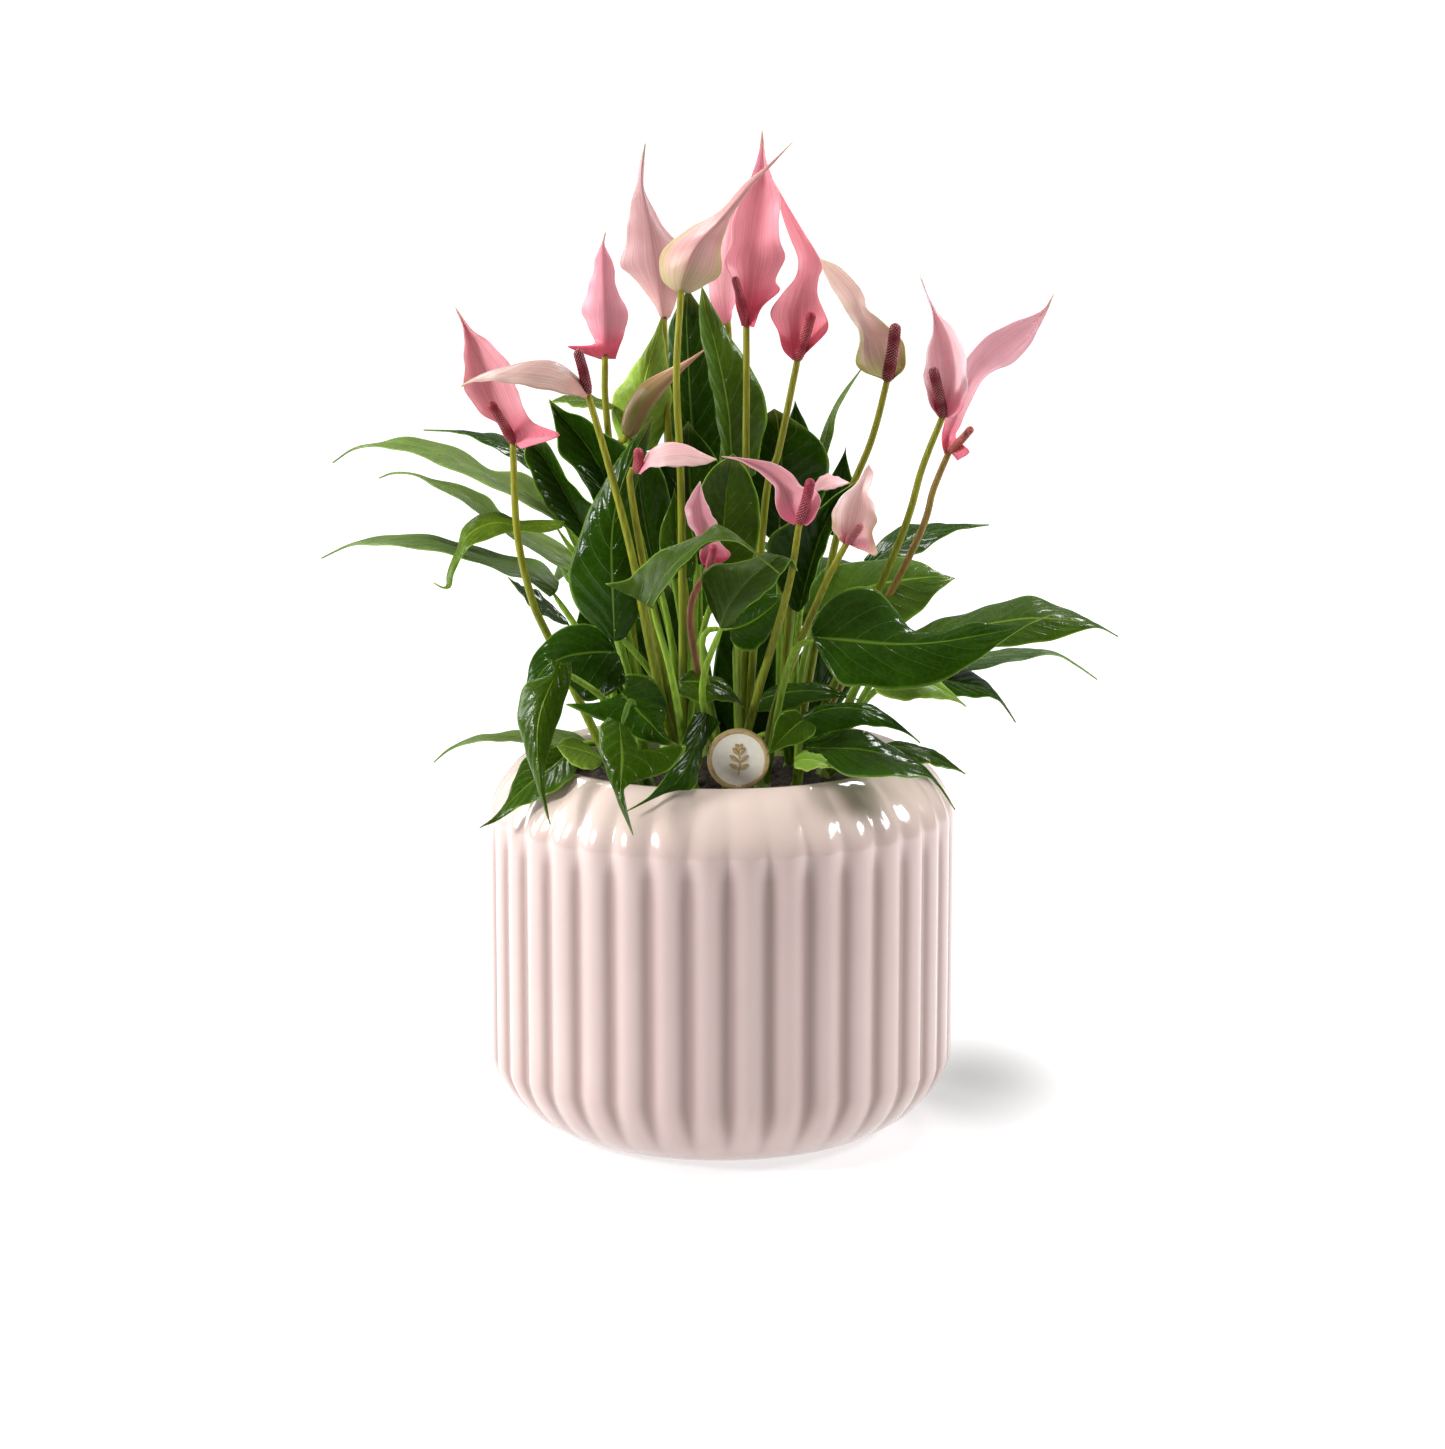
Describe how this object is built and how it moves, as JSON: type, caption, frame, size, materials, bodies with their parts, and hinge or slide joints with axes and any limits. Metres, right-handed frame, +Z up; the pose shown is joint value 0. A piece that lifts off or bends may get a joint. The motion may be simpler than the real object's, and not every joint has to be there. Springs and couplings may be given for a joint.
{
  "type": "potted flamingo flower",
  "caption": "Flamingo flower with glossy heart-shaped leaves, slender pink spathes and dark red spadices, standing in soil in a pale pink fluted glazed pot.",
  "frame": {"origin": "centre of the pot's flat underside", "axes": "+Z up along the pot's axis, -Y towards the viewer of the picture, +X to the viewer's right"},
  "size_m": [0.3451, 0.2566, 0.4333],
  "materials": {
    "pot": "gloss",
    "soil": "matte",
    "leaf": "gloss",
    "spathe": "satin",
    "spadix": "matte",
    "tag": "satin"
  },
  "bodies": {
    "root": {"pot": "pot", "shoot_A": "leaf", "shoot_B": "leaf", "shoot_C": "leaf", "shoot_D": "leaf", "shoot_E": "leaf", "shoot_G": "leaf", "shoot_H": "leaf", "shoot_J": "leaf", "shoot_K": "leaf", "shoot_M": "leaf", "shoot_N": "leaf", "shoot_O": "leaf", "shoot_P": "leaf", "shoot_Q": "leaf", "shoot_R": "leaf", "shoot_T": "leaf", "shoot_U": "leaf", "shoot_V": "leaf", "soil": "soil", "spadix_01": "spadix", "spadix_02": "spadix", "spadix_03": "spadix", "spadix_04": "spadix", "spadix_05": "spadix", "spadix_06": "spadix", "spadix_07": "spadix", "spadix_08": "spadix", "spadix_09": "spadix", "spadix_10": "spadix", "spadix_12": "spadix", "spadix_13": "spadix", "spadix_14": "spadix", "spadix_15": "spadix", "spadix_17": "spadix", "spadix_18": "spadix", "spathe_01": "spathe", "spathe_02": "spathe", "spathe_03": "spathe", "spathe_04": "spathe", "spathe_05": "spathe", "spathe_06": "spathe", "spathe_07": "spathe", "spathe_08": "spathe", "spathe_09": "spathe", "spathe_10": "spathe", "spathe_12": "spathe", "spathe_13": "spathe", "spathe_14": "spathe", "spathe_15": "spathe", "spathe_16": "spathe", "spathe_17": "spathe", "spathe_18": "spathe", "tag": "tag"}
  },
  "joints": []
}
